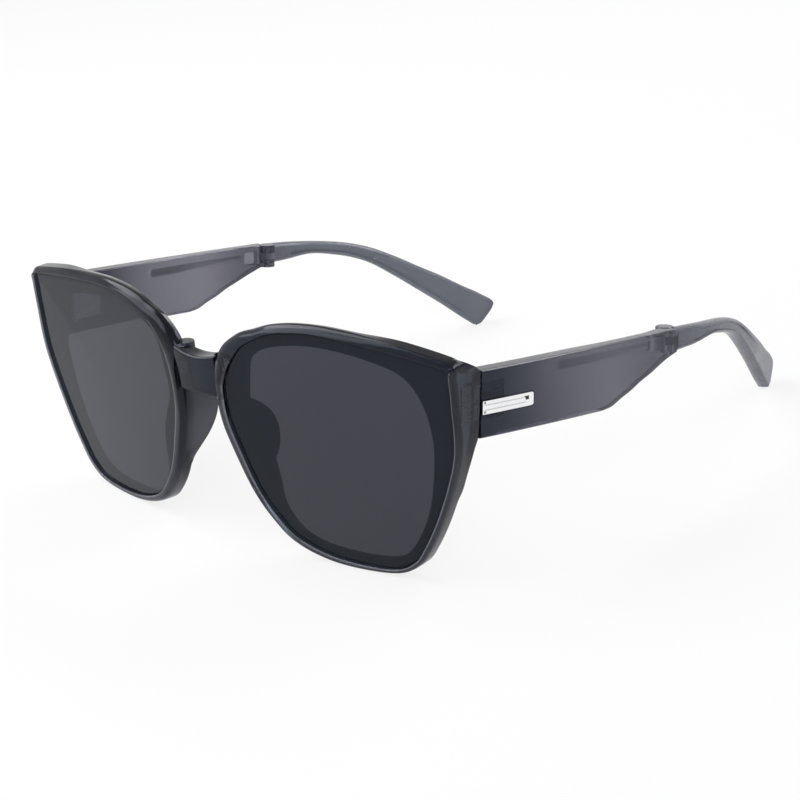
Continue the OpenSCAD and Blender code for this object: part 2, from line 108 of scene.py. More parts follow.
# Inlays
INLAY_L, INLAY_H, INLAY_T, INLAY_PROUD, INLAY_PLAY, INLAY_R = 15.1, 3.0, 0.7, 0.12, 0.3, 0.55
SLOT_HALF, SLOT_DEPTH, THROUGH = 0.16, 0.45, 1.2
# Cuts in an inlay: steps from its front, shares of its length, and shares of its half height
SLOT_START, DOT_SPAN, PIT_SPAN = 0.6, (0.45, 0.8), (0.84, 0.9)
SLOT_HEIGHTS, DOT_HEIGHTS, PIT_HEIGHTS = (-0.3, 0.42), (-0.66, 0.72), (0.02, 0.5)
# Fits
SEAM_GAP, BARREL_GAP, SWEEP_GAP, FLOOR_CUT = 0.2, 0.12, 0.25, 0.4
FLOOR_DROP = 0.04

# Places that follow from them
LENS_S0 = LENS_GAP / 2
OUTER_S = LENS_S0 + LENS_W + LIP_W
LENS_LOW = LIP_W * 1.1 - FOOT_CUT
RIM_BACK = LENS_T + FLANGE_T
SIDE_Y = OUTER_S * math.sin(WRAP)
OUTER_TOP = LENS_LOW + LENS_H * 0.99
TEMPLE_X = OUTER_S * math.cos(WRAP) - LIP_W / 2
INNER_X = TEMPLE_X - TEMPLE_T
SEAM_Y = SIDE_Y + END_DEPTH
SEAM_Z = LENS_LOW + LENS_H * 0.878
AXIS_X = AXIS_GAP / 2
AXIS_Y = LINK_FRONT + LINK_D * 0.9
LINK_TOP = LENS_LOW + LENS_H * 0.842
LINK_LOW = LINK_TOP - LINK_H
BARREL_TOP = LINK_TOP + BARREL_PROUD
BARREL_LOW = LINK_LOW - BARREL_PROUD * 0.75
FOLD_TOP = FOLD_R * 0.06
FOLD_LOW = -FOLD_H - FOLD_R * 0.12
HINGE_LOW = -TEMPLE_H / 2 - HINGE_H / 2
GROOVE_MID = -FOLD_H * 0.55
GROOVE_HALF, GROOVE_DEPTH = FOLD_H * 0.2, FOLD_H * 0.07
GROOVE_END = TEMPLE_LEN - TEMPLE_H * 0.55
GROOVE_START = GROOVE_END - GROOVE_LEN
INLAY_FRONT, INLAY_MID = SEAM_GAP * 2, -TEMPLE_H * 0.55
JOINT = {j["name"]: j for j in frame["joints"]}
MIDDLE = AXIS_Y - JOINT["bridge_fold_left"]["pos_m"][1] / MM

# Outlines in shares, anticlockwise from the nose as seen from the front
# The lens's edge: across, up, and the lip's width there in lip widths
EDGE_SHARES = [
    (0, .695, 2.2), (.003, .569, 2), (.034, .45, 2), (.098, .268, 1.85), (.172, .147, 1.7),
    (.252, .067, 1.5), (.387, .015, 1.25), (.544, 0, 1), (.684, .013, .9), (.762, .06, .95),
    (.807, .123, 1), (.873, .251, 1), (.942, .422, 1), (.989, .587, 1), (.998, .768, .94),
    (1, .885, .94), (.994, .923, 1.3), (.938, .936, 1.55), (.776, .963, 1.7), (.617, .985, 1.55),
    (.456, 1, 1.45), (.333, .994, 1.5), (.238, .974, 1.6), (.167, .941, 1.85), (.106, .9, 2.6),
    (.055, .835, 3.5), (.021, .773, 3.2),
]
OPENING_SHARES = [
    (.081, .587), (.09, .717), (.118, .84), (.2, .902), (.325, .931), (.45, .937), (.6, .92),
    (.76, .877), (.836, .801), (.874, .68), (.877, .53), (.835, .309), (.76, .14), (.68, .056),
    (.565, .033), (.44, .033), (.322, .052), (.235, .105), (.18, .2), (.171, .31), (.15, .43),
]
# Other curves: the pad's depth by height, the end piece's taper and the temple's lower edge
PAD_SHARES = [
    (0, .74), (.2, .68), (.45, .645), (.7, .605), (.9, .555), (1, .495), (.985, .43), (.85, .365),
    (.62, .31), (.4, .25), (.2, .18), (.07, .11), (0, .05),
]
TAPER_SHARES = [(-.3, 0), (0, .18), (.13, .43), (.33, .65), (.64, .87), (1, 1)]
FOOT_SHARE = 0.34
LOWER_SHARES = [
    (0, 0), (.56, 0), (.592, .003), (.645, .04), (.695, .18), (.75, .32), (.8, .48), (.855, .62),
    (.91, .79), (.955, .91), (1, 1),
]
# The rear arm along its length: how far its middle drops and its height grows, and its way inwards
ARM_SHARES = [
    (0, 0, 0), (.121, -.005, -.151), (.254, -.015, -.465), (.37, .025, -.419), (.458, .081, -.349),
    (.541, .17, -.209), (.648, .343, .07), (.743, .516, .302), (.841, .694, .581), (.93, .872, .814),
    (1, 1, 1),
]
CURVE_SHARES = [
    (-.02, 0), (.187, .058), (.37, .2), (.552, .388), (.735, .603), (.9, .812), (1.1, 1.05),
]

# Colours in linear light
RIM_TINT = (0.013, 0.017, 0.026)
TEMPLE_FRONT_TINT, TEMPLE_BACK_TINT = (0.02, 0.024, 0.036), (0.135, 0.133, 0.163)
ARM_TINT = (0.19, 0.2, 0.235)
LENS_TINT = (0.04, 0.0405, 0.047)
STEEL_COLOUR, SILVER_COLOUR = (0.55, 0.56, 0.58), (0.9, 0.9, 0.91)
PLASTIC_SHEEN, LENS_SHEEN, LENS_HAZE = (0.8, 0.86, 1, 1), (0.76, 0.83, 1, 1), (0.62, 0.75, 1, 1)
# Painted light and shade mixed into the base colours, each with its share
# Painted highlight on the lip's inner edge, and its share
LIP_HIGHLIGHT_COLOUR, EDGE_SHARE = (0.6, 0.61, 0.66), 0.8
# Painted reflection lightening the temple's inner face
INNER_LIGHT = ((0.6, 0.59, 0.66), 0.36)
# Painted shade in the temple's groove
GROOVE_SHADE = ((0.03, 0.029, 0.036), 0.8)
# Painted light where the window thins the plastic
WINDOW_LIGHT = ((0.5, 0.5, 0.56), 0.6)
# Floor and surroundings
FLOOR_HALF, FLOOR_COLOUR, FLOOR_GLOW = 4.0, (0.8, 0.8, 0.81, 1), 0.8
SKY_LEVEL, SKY_FADE, SKY_TOP = 0.4, (0.25, 0.45), 0.35
# Lamps: name, place and size in metres, and power in watts
LAMP_AIM = (0, 0, 0.03)
LAMPS = (
    ("front_softbox", (-0.42, -0.42, 0.47), (0.5, 0.46), 2.5),
    ("top_softbox", (-0.5, -0.08, 0.6), (0.4, 0.45), 2.6),
    ("right_fill", (0.6, -0.5, 0.45), (0.4, 0.4), 2.5),
    ("rear_strip", (0.1, 0.7, 0.6), (0.9, 0.15), 3),
)
# The photograph's view, fitted to the outlines of both rims and both temples
VIEW_AZ, VIEW_EL, VIEW_ROLL = (math.radians(a) for a in (48.797, 20.428, -7.503))
VIEW_DISTANCE = 0.62536
VIEW_AIM = Vector((24.575, 40 - MIDDLE, 25.718)) * MM
PHOTO_WIDTH, FOCAL_PX, SENSOR = 800, 2683.4, 36.0


# Curves

def spline(a, b, c, d, t):
    return (2 * b + (c - a) * t + (2 * a - 5 * b + 4 * c - d) * t * t
            + (3 * b - a - 3 * c + d) * t ** 3) / 2


def loop(points, steps):
    """A closed smooth curve through the points."""
    p = [np.array(q, float) for q in points]
    n = len(p)
    return np.array([spline(p[i - 1], p[i], p[(i + 1) % n], p[(i + 2) % n], j / steps)
                     for i in range(n) for j in range(steps)])


def line(points, steps):
    """An open smooth curve through the points."""
    p = [np.array(q, float) for q in points]
    n = len(p)
    out = [spline(p[max(i - 1, 0)], p[i], p[i + 1], p[min(i + 2, n - 1)], j / steps)
           for i in range(n - 1) for j in range(steps)]
    return np.array(out + [p[-1]])


def along(curve, x, column=1):
    """The curve's column at x, where column 0 rises."""
    return np.interp(x, curve[:, 0], curve[:, column])


def smooth(x, low, high):
    """0 below low and 1 above high, with an even transition."""
    t = np.clip((x - low) / (high - low), 0, 1)
    return t * t * (3 - 2 * t)


def steps_from(start, steps):
    """The places that lie the given steps past start."""
    return tuple(start + step for step in steps)


def shares_of(start, size, shares):
    """The places at shares of a size past start."""
    return tuple(start + size * share for share in shares)


def place(shares):
    """Shares of the lens in millimetres."""
    return np.c_[LENS_S0 + LENS_W * shares[:, 0], LENS_LOW + LENS_H * shares[:, 1]]


def outward(p):
    """The outward direction at each point of a closed curve."""
    d = np.roll(p, -1, 0) - np.roll(p, 1, 0)
    d /= np.linalg.norm(d, axis=1)[:, None]
    return np.c_[d[:, 1], -d[:, 0]]


# Places in the part's frame

def in_front(s, y, z):
    """A point s along the lens, at depth y and height z."""
    c, n = math.cos(WRAP), math.sin(WRAP)
    return np.stack([s * c - y * n, s * n + y * c - MIDDLE, z + np.zeros_like(s)], -1)


def in_temple(x, y, z):
    """A point of the temple's own frame, whose origin is on the seam's top edge."""
    c, n = math.cos(SLOPE), math.sin(SLOPE)
    back = SEAM_Y + y * c + z * n - MIDDLE
    return np.stack([x + np.zeros_like(y), back, SEAM_Z - y * n + z * c], -1)


def bridge_axis(x, y, z):
    """A point beside the left axis of the bridge."""
    return np.stack([AXIS_X + x, AXIS_Y - MIDDLE + y, z], -1)


def fold_axis(x, y, z):
    """A point beside the axis between a temple and its rear arm."""
    return in_temple(INNER_X + x, TEMPLE_LEN + y, z)


def hinge_axis(x, y, z):
    """A point beside the axis between a rim and its temple."""
    return in_temple(INNER_X + HINGE_SET - HINGE_R + x, y, z)


# Meshes

def build(name, verts, faces, sign=1):
    """A mesh object from millimetres, mirrored where sign is -1."""
    v = np.asarray(verts, float).reshape(-1, 3) * MM * np.array([sign, 1, 1])
    mesh = bpy.data.meshes.new(name)
    mesh.from_pydata(v.tolist(), [], [list(f)[::sign] for f in faces])
    mesh.update()
    obj = bpy.data.objects.new(name, mesh)
    bpy.context.scene.collection.objects.link(obj)
    return obj


def skin(rings, wrap=False, caps=True):
    """Quads between rings of equal length, each closed on itself; wrap joins the last to the first."""
    rings = np.asarray(rings, float)
    n, m = rings.shape[:2]
    faces = []
    for i in range(n if wrap else n - 1):
        k = (i + 1) % n
        for j in range(m):
            h = (j + 1) % m
            faces.append((i * m + j, i * m + h, k * m + h, k * m + j))
    if caps and not wrap:
        faces.append(tuple(range(m - 1, -1, -1)))
        faces.append(tuple((n - 1) * m + j for j in range(m)))
    return rings.reshape(-1, 3), faces


def outside(obj):
    """Turns the faces outward."""
    b = bmesh.new()
    b.from_mesh(obj.data)
    bmesh.ops.recalc_face_normals(b, faces=b.faces)
    b.to_mesh(obj.data)
    b.free()
    return obj


def combine(obj, tool, how):
    """Boolean of obj with tool; tool is removed."""
    mod = obj.modifiers.new("combine", "BOOLEAN")
    mod.operation, mod.solver, mod.object = how, "EXACT", tool
    bake(obj)
    bpy.data.objects.remove(tool)
    return obj


def bake(obj):
    """Applies the modifiers."""
    bpy.context.view_layer.update()
    deps = bpy.context.evaluated_depsgraph_get()
    mesh = bpy.data.meshes.new_from_object(obj.evaluated_get(deps))
    obj.modifiers.clear()
    old = obj.data
    obj.data = mesh
    bpy.data.meshes.remove(old)
    return obj


def rounded(obj, width, segments=3, angle=40):
    """Bevels the sharp edges, width in millimetres."""
    mod = obj.modifiers.new("round", "BEVEL")
    mod.width, mod.segments, mod.limit_method = width * MM, segments, "ANGLE"
    mod.angle_limit = math.radians(angle)
    mod.harden_normals = False
    return bake(obj)


def shade(obj, angle=32):
    """Smooth shading that keeps the sharp edges."""
    obj.data.shade_smooth()
    obj.data.set_sharp_from_angle(angle=math.radians(angle))
    mod = obj.modifiers.new("normals", "WEIGHTED_NORMAL")
    mod.keep_sharp = True
    mod.weight = 60
    return obj


def finish_piece(obj, body, slot, material, *nodes):
    """Gives a piece its material and body, in place of the named CAD nodes; slot is not used."""
    obj.data.materials.clear()
    obj.data.materials.append(material)
    shade(obj)
    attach(obj, body)
    if nodes:
        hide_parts(*nodes)
    return obj


def tube(name, place_at, r, z0, z1, sign=1, steps=48):
    """A round bar between two heights; place_at turns x, y and z arrays into the part's frame."""
    a = np.linspace(0, 2 * math.pi, steps, endpoint=False)
    rings = [place_at(r * np.cos(a), r * np.sin(a), np.full(steps, z)) for z in (z0, z1)]
    return outside(build(name, *skin(rings), sign))


def domed(name, place_at, r, z0, z1, dome, sign=1, steps=48):
    """A round bar whose top edge is rounded by dome."""
    a = np.linspace(0, 2 * math.pi, steps, endpoint=False)
    levels = [(z0, r)] + [(z1 - dome + dome * math.sin(t), r - dome + dome * math.cos(t))
                          for t in np.linspace(0, QUARTER, 6)]
    rings = [place_at(q * np.cos(a), q * np.sin(a), np.full(steps, z)) for z, q in levels]
    return outside(build(name, *skin(rings), sign))


def plate(name, x0, x1, y0, y1, low, high, sign=1):
    """A box between two corners, in the part's frame."""
    o = np.array([(x0, y0), (x1, y0), (x1, y1), (x0, y1)], float)
    rings = [np.c_[o, np.full(len(o), z)] for z in (low, high)]
    return outside(build(name, *skin(rings), sign))


def rounded_ring(x0, x1, z0, z1, radii, flats=(5, 5, 5, 5), arcs=5):
    """A rounded rectangle from its outer low corner round; flats are the points on each side."""
    centres = [(x1 - radii[0], z0 + radii[0]), (x1 - radii[1], z1 - radii[1]),
               (x0 + radii[2], z1 - radii[2]), (x0 + radii[3], z0 + radii[3])]
    turns = [np.radians(np.linspace(a, a + 90, arcs)) for a in (-90, 0, 90, 180)]
    curves = [np.array([(c[0] + r * math.cos(t), c[1] + r * math.sin(t)) for t in turn])
              for c, r, turn in zip(centres, radii, turns)]
    out = []
    for n in range(4):
        a, b = curves[n][-1], curves[(n + 1) % 4][0]
        out += [*curves[n], *(a + (b - a) * k for k in np.linspace(0, 1, flats[n] + 2)[1:-1])]
    return np.array(out)


def outer_knuckles(obj, place_at, r, low, high, dome, sign, drop=0):
    """Adds the knuckles at both ends of a barrel and clears room for the middle one."""
    third, gap = (high - low) / 3, BARREL_GAP / 2
    for span in ((low, low + third - gap), (high - third + gap, high - drop)):
        obj = combine(obj, domed("barrel", place_at, r, *span, dome, sign), "UNION")
    room = tube("room", place_at, r + SWEEP_GAP, low + third - gap, high - third + gap, sign)
    return combine(obj, room, "DIFFERENCE")


def middle_knuckle(obj, place_at, r, low, high, sign):
    """Adds the middle knuckle of a barrel and clears room for the ones at its ends."""
    third, gap = (high - low) / 3, BARREL_GAP / 2
    barrel = tube("barrel", place_at, r, low + third + gap, high - third - gap, sign)
    obj = combine(obj, barrel, "UNION")
    for span in ((low - 1, low + third + gap), (high - third - gap, high + 1)):
        obj = combine(obj, tube("room", place_at, r + SWEEP_GAP, *span, sign), "DIFFERENCE")
    return obj


def clear_hinge(obj, sign):
    """Clears room for the barrel of the temple hinge and its screw's head."""
    top = HINGE_LOW + HINGE_H + SCREW_ROOM
    room = tube("room", hinge_axis, HINGE_R + SWEEP_GAP, HINGE_LOW - 0.1, top, sign)
    return combine(obj, room, "DIFFERENCE")


# Material nodes

def nodes_of(name):
    m = bpy.data.materials.new(name)
    m.use_nodes = True
    tree = m.node_tree
    return m, tree, tree.nodes["Principled BSDF"]


def link(tree, a, out, b, into):
    tree.links.new(a.outputs[out], b.inputs[into])


def object_coords(tree):
    """A node that splits the object coordinates."""
    coords = tree.nodes.new("ShaderNodeTexCoord")
    split = tree.nodes.new("ShaderNodeSeparateXYZ")
    link(tree, coords, "Object", split, "Vector")
    return split


def noise(tree, scale, detail=2.0):
    c = tree.nodes.new("ShaderNodeTexCoord")
    n = tree.nodes.new("ShaderNodeTexNoise")
    n.inputs["Scale"].default_value = scale
    n.inputs["Detail"].default_value = detail
    link(tree, c, "Object", n, "Vector")
    return n


def spread(tree, source, out, low, high, from_low=0.3, from_high=0.7):
    """Maps a value to a range."""
    r = tree.nodes.new("ShaderNodeMapRange")
    r.inputs["From Min"].default_value, r.inputs["From Max"].default_value = from_low, from_high
    r.inputs["To Min"].default_value, r.inputs["To Max"].default_value = low, high
    link(tree, source, out, r, "Value")
    return r


def colour_sockets(sockets):
    return [s for s in sockets if s.type == "RGBA"]


def mixed(tree, factor, a, b):
    """A colour between a and b; each is a colour or the node of one."""
    m = tree.nodes.new("ShaderNodeMix")
    m.data_type = "RGBA"
    link(tree, factor, "Result", m, "Factor")
    for target, value in zip(colour_sockets(m.inputs), (a, b)):
        if isinstance(value, tuple):
            target.default_value = (*value, 1)
        else:
            tree.links.new(colour_sockets(value.outputs)[0], target)
    return m


def colour_into(tree, node, shader):
    tree.links.new(colour_sockets(node.outputs)[0], shader.inputs["Base Color"])


def tinged(tree, p, factor, colour):
    """Mixes a colour into the base colour by a factor."""
    plain = p.inputs["Base Color"].links[0].from_socket
    mix = tree.nodes.new("ShaderNodeMix")
    mix.data_type = "RGBA"
    tree.links.new(factor, mix.inputs["Factor"])
    sockets = colour_sockets(mix.inputs)
    tree.links.new(plain, sockets[0])
    sockets[1].default_value = (*colour, 1)
    colour_into(tree, mix, p)


def math_node(tree, how, *values):
    """A Math node; each value is a number or an output socket."""
    m = tree.nodes.new("ShaderNodeMath")
    m.operation = how
    for socket, value in zip(m.inputs, values):
        if isinstance(value, (int, float)):
            socket.default_value = value
        else:
            tree.links.new(value, socket)
    return m.outputs[0]


def product(tree, first, *others):
    for value in others:
        first = math_node(tree, "MULTIPLY", first, value)
    return first


def above(tree, value, low, high):
    """0 below low and 1 above high, both in mm."""
    r = tree.nodes.new("ShaderNodeMapRange")
    r.interpolation_type = "SMOOTHSTEP"
    r.inputs["From Min"].default_value, r.inputs["From Max"].default_value = low * MM, high * MM
    tree.links.new(value, r.inputs["Value"])
    return r.outputs["Result"]


def below(tree, value, low, high):
    """1 below low and 0 above high, both in mm."""
    return math_node(tree, "SUBTRACT", 1.0, above(tree, value, low, high))


def between(tree, value, rise, fall):
    """1 between the places where it rises and falls."""
    return product(tree, above(tree, value, *rise), below(tree, value, *fall))


def temple_coords(tree):
    """The temple's own x, y and z, in metres from the seam's top edge."""
    coords = tree.nodes.new("ShaderNodeTexCoord")
    turn = tree.nodes.new("ShaderNodeMapping")
    c, n = math.cos(SLOPE), math.sin(SLOPE)
    y0, z0 = (SEAM_Y - MIDDLE) * MM, SEAM_Z * MM
    turn.inputs["Rotation"].default_value = (SLOPE, 0, 0)
    turn.inputs["Location"].default_value = (0, -(y0 * c - z0 * n), -(y0 * n + z0 * c))
    split = tree.nodes.new("ShaderNodeSeparateXYZ")
    link(tree, coords, "Object", turn, "Vector")
    link(tree, turn, "Vector", split, "Vector")
    return (split.outputs[axis] for axis in "XYZ")


# Materials

def smoke_plastic(name, front, back, start, end, clear, rough, ior):
    """Smoke plastic whose tint goes from front to back between two places, in mm."""
    m, tree, p = nodes_of(name)
    p.inputs["Transmission Weight"].default_value = clear
    p.inputs["IOR"].default_value = ior
    p.inputs["Specular Tint"].default_value = PLASTIC_SHEEN
    ramp = spread(tree, object_coords(tree), "Y", 0, 1, start * MM, end * MM)
    ramp.interpolation_type = "SMOOTHSTEP"
    cloud = spread(tree, noise(tree, 70, 3), "Fac", 0, 1)
    ends = [mixed(tree, cloud, *(tuple(c * level for c in tint) for level in (0.94, 1.06)))
            for tint in (front, back)]
    colour_into(tree, mixed(tree, ramp, *ends), p)
    polish = spread(tree, noise(tree, 260, 3), "Fac", rough * 0.85, rough * 1.15)
    link(tree, polish, "Result", p, "Roughness")
    bump = tree.nodes.new("ShaderNodeBump")
    bump.inputs["Strength"].default_value = 0.03
    bump.inputs["Distance"].default_value = 0.02 * MM
    link(tree, noise(tree, 160, 2), "Fac", bump, "Height")
    link(tree, bump, "Normal", p, "Normal")
    return m


def paint_lip_highlight(m):
    """Paints a highlight line along the lip's inner edge, by the per-point share stored on the rim."""
    tree = m.node_tree
    mark = tree.nodes.new("ShaderNodeAttribute")
    mark.attribute_name = "lip_highlight"
    share = math_node(tree, "MULTIPLY", mark.outputs["Fac"], EDGE_SHARE)
    tinged(tree, tree.nodes["Principled BSDF"], share, LIP_HIGHLIGHT_COLOUR)


def tone_inner_face(m):
    """Paints a reflection over the temple's inner face, shade in its groove and light in the thin window
    behind it.
    """
    tree = m.node_tree
    x, y, z = temple_coords(tree)
    inner = below(tree, math_node(tree, "ABSOLUTE", x), *steps_from(INNER_X, FACE_EDGE))
    # Painted shade along the groove
    rise = above(tree, y, GROOVE_START + BAND_RISE, GROOVE_END)
    low = math_node(tree, "MULTIPLY_ADD", rise, BAND_LIFT * MM, (GROOVE_MID + BAND_LOW) * MM)
    over = above(tree, math_node(tree, "SUBTRACT", z, low), *BAND_BOTTOM)
    under = below(tree, z, *steps_from(GROOVE_MID, BAND_TOP))
    lengthwise = between(tree, y, steps_from(GROOVE_START, BAND_START),
                         steps_from(GROOVE_END, BAND_END))
    groove_shade = product(tree, over, under, lengthwise, inner)
    # Painted light in the thin window
    from_middle = math_node(tree, "SUBTRACT", z, (GROOVE_MID - WINDOW_DROP) * MM)
    height = math_node(tree, "ABSOLUTE", from_middle)
    opened = between(tree, y, steps_from(GROOVE_END, TONE_RISE), steps_from(GROOVE_END, TONE_FALL))
    window = product(tree, opened, below(tree, height, *TONE_HALF), inner)
    # Painted reflection over the inner face
    inner_lit_span = between(tree, y, INNER_LIGHT_RISE, steps_from(GROOVE_END, INNER_LIGHT_FALL))
    inner_light = product(tree, inner, inner_lit_span)
    for factor, (colour, share) in ((inner_light, INNER_LIGHT), (groove_shade, GROOVE_SHADE), (window, WINDOW_LIGHT)):
        strength = math_node(tree, "MULTIPLY", factor, share)
        tinged(tree, tree.nodes["Principled BSDF"], strength, colour)


def tinted_lens():
    """Dark glass with a faint blue haze, a little lighter towards its top."""
    m, tree, p = nodes_of("tinted_lens")
    p.inputs["Transmission Weight"].default_value = 1.0
    p.inputs["IOR"].default_value = 1.22
    p.inputs["Specular Tint"].default_value = LENS_SHEEN
    p.inputs["Sheen Weight"].default_value = 0.035
    p.inputs["Sheen Roughness"].default_value = 1.0
    p.inputs["Sheen Tint"].default_value = LENS_HAZE
    height = spread(tree, object_coords(tree), "Z", 0, 1, LENS_LOW * MM, (LENS_LOW + LENS_H) * MM)
    colour_into(tree, mixed(tree, height, LENS_TINT, tuple(c * 1.08 for c in LENS_TINT)), p)
    polish = spread(tree, noise(tree, 120, 2), "Fac", 0.004, 0.014)
    link(tree, polish, "Result", p, "Roughness")
    return m


def metal(name, colour, rough_low, rough_high, grain):
    """Metal with a fine brushed grain along the temple."""
    m, tree, p = nodes_of(name)
    p.inputs["Metallic"].default_value = 1.0
    coords = tree.nodes.new("ShaderNodeTexCoord")
    stretch = tree.nodes.new("ShaderNodeMapping")
    stretch.inputs["Scale"].default_value = (grain, grain * 0.06, grain)
    link(tree, coords, "Object", stretch, "Vector")
    n = tree.nodes.new("ShaderNodeTexNoise")
    n.inputs["Detail"].default_value = 3
    n.inputs["Scale"].default_value = 1.0
    link(tree, stretch, "Vector", n, "Vector")
    tone = spread(tree, n, "Fac", 0, 1)
    colour_into(tree, mixed(tree, tone, tuple(c * 0.96 for c in colour), colour), p)
    link(tree, spread(tree, n, "Fac", rough_low, rough_high), "Result", p, "Roughness")
    return m


rim_plastic = smoke_plastic("rim_plastic", RIM_TINT, RIM_TINT, -60, -40,
                            clear=0.8, rough=0.15, ior=1.29)
paint_lip_highlight(rim_plastic)
temple_plastic = smoke_plastic("temple_plastic", TEMPLE_FRONT_TINT, TEMPLE_BACK_TINT, -48, -8,
                               clear=0.7, rough=0.13, ior=1.31)
tone_inner_face(temple_plastic)
arm_plastic = smoke_plastic("arm_plastic", TEMPLE_BACK_TINT, ARM_TINT, 8, 24,
                            clear=0.45, rough=0.24, ior=1.36)
lens_tint = tinted_lens()
steel = metal("hinge_steel", STEEL_COLOUR, 0.22, 0.36, 3000)
silver = metal("inlay_silver", SILVER_COLOUR, 0.16, 0.28, 4000)

# The lens's edge in mm, its outward directions, how far each point is an upper one, and the lip
rows = loop(EDGE_SHARES, 14)
edge = place(rows)
normals = outward(edge)
upper = smooth(normals[:, 1], 0.2, 0.8)
edge = edge + normals * (TOP_LIFT * upper)[:, None]
lip = rows[:, 2] * LIP_W - TOP_LIFT * upper
opening = place(loop(OPENING_SHARES, 24))
middle = place(np.array([[.47, .5]]))[0]


# Rims

def facing(points):
    """For each edge point, the opening's point at the same angle from the lens's middle."""
    turn = np.arctan2(opening[:, 1] - middle[1], opening[:, 0] - middle[0])
    order = np.argsort(turn)
    a, p = turn[order], opening[order]
    a, p = np.r_[a - 2 * math.pi, a, a + 2 * math.pi], np.vstack([p, p, p])
    at = np.arctan2(points[:, 1] - middle[1], points[:, 0] - middle[0])
    return np.c_[np.interp(at, a, p[:, 0]), np.interp(at, a, p[:, 1])]


def wall_depths():
    """For each edge point: how far its wall reaches behind the flange, how thick the wall is, and
    whether the point is on the nose side."""
    pad = line(PAD_SHARES, 6)[::-1]
    outer = edge + normals * lip[:, None]
    z_share = (outer[:, 1] - LENS_LOW) / LENS_H
    base_y = in_front(outer[:, 0], RIM_BACK, outer[:, 1])[:, 1] + MIDDLE
    nasal = outer[:, 0] < LENS_S0 + LENS_W * NASAL_SHARE
    pad_y = PAD_DEPTH * np.interp(z_share, pad[:, 1], pad[:, 0], left=0, right=0)
    low_z = SEAM_Z - TEMPLE_H * math.cos(SLOPE)
    low_y = SEAM_Y - TEMPLE_H * math.sin(SLOPE)
    foot = LENS_LOW + LENS_H * FOOT_SHARE
    taper = line(TAPER_SHARES, 6)
    back = SIDE_Y + RIM_BACK
    z = outer[:, 1]
    tapered = back + (low_y - back) * np.interp((z - foot) / (low_z - foot), taper[:, 1], taper[:, 0])
    seam = SEAM_Y + (z - SEAM_Z) * math.tan(SLOPE)
    climb = np.clip((z - SEAM_Z) / (OUTER_TOP - SEAM_Z), 0, 1)
    over_seam = SIDE_Y + (1 - climb ** END_CLIMB) * (SEAM_Y - SIDE_Y)
    end_y = np.where(z > SEAM_Z, over_seam, np.where(z > low_z, seam, tapered)) - SEAM_GAP / 2
    end_y = np.where(z < foot, 0, end_y)
    side = smooth(outer[:, 0], *steps_from(OUTER_S, SIDE_RAMP))
    reach = np.where(nasal, pad_y, end_y) - base_y
    reach = np.where(nasal, reach, reach * side)
    thick = np.where(nasal, PAD_T, TEMPLE_T + LIP_W / 2)
    return np.maximum(reach, 0), thick, nasal


def rim_section(width, gap, reach, thick, proud, bend, flatness, narrow):
    """Points of one section, outward from the lens's edge and back: lip, back, wall, opening, seat."""
    points = [(0, LENS_T), (0, LENS_T * 0.4), (0, -proud + EDGE_R * 1.3)]
    for t in np.linspace(0, QUARTER, 4):
        points.append((EDGE_R - EDGE_R * math.cos(t), -proud + EDGE_R - EDGE_R * math.sin(t)))
    low_sin, low_cos = math.sin(ARC_START), math.cos(ARC_START)
    for t in np.linspace(ARC_START, QUARTER, 11)[1:]:
        points.append((EDGE_R + (width - EDGE_R) * (math.sin(t) - low_sin) / (1 - low_sin),
                       -proud + bend * (1 - math.cos(t) / low_cos) ** flatness))
    top, back_w = RIM_BACK + reach, width - narrow
    points.append((width - narrow * 0.35, (bend - proud + top - BACK_R) / 2))
    for t in np.linspace(0, QUARTER, 5):
        points.append((back_w - BACK_R + BACK_R * math.cos(t), top - BACK_R + BACK_R * math.sin(t)))
    wall = max(width - thick, -gap + FLANGE_MIN + WALL_FOOT)
    low, high, end = wall - WALL_FOOT, wall + WALL_FOOT, -gap + FLANGE_MIN
    stops = [high + (back_w - BACK_R - high) * k for k in (0.7, 0.35)]
    stops += list(np.linspace(high, low, 11))
    stops += [low + (end - low) * k for k in (0.25, 0.5, 0.75, 1)]
    for a in stops:
        points.append((a, RIM_BACK + reach * float(smooth(a, low, high))))
    for t in np.linspace(0, QUARTER, 4)[1:]:
        points.append((-gap + OPENING_R - OPENING_R * math.sin(t),
                       RIM_BACK - OPENING_R + OPENING_R * math.cos(t)))
    points += [(-gap, LENS_T + OPENING_SEAT), (-gap + OPENING_SEAT, LENS_T)]
    points += [(-gap * 0.66, LENS_T), (-gap * 0.33, LENS_T)]
    return np.array(points)


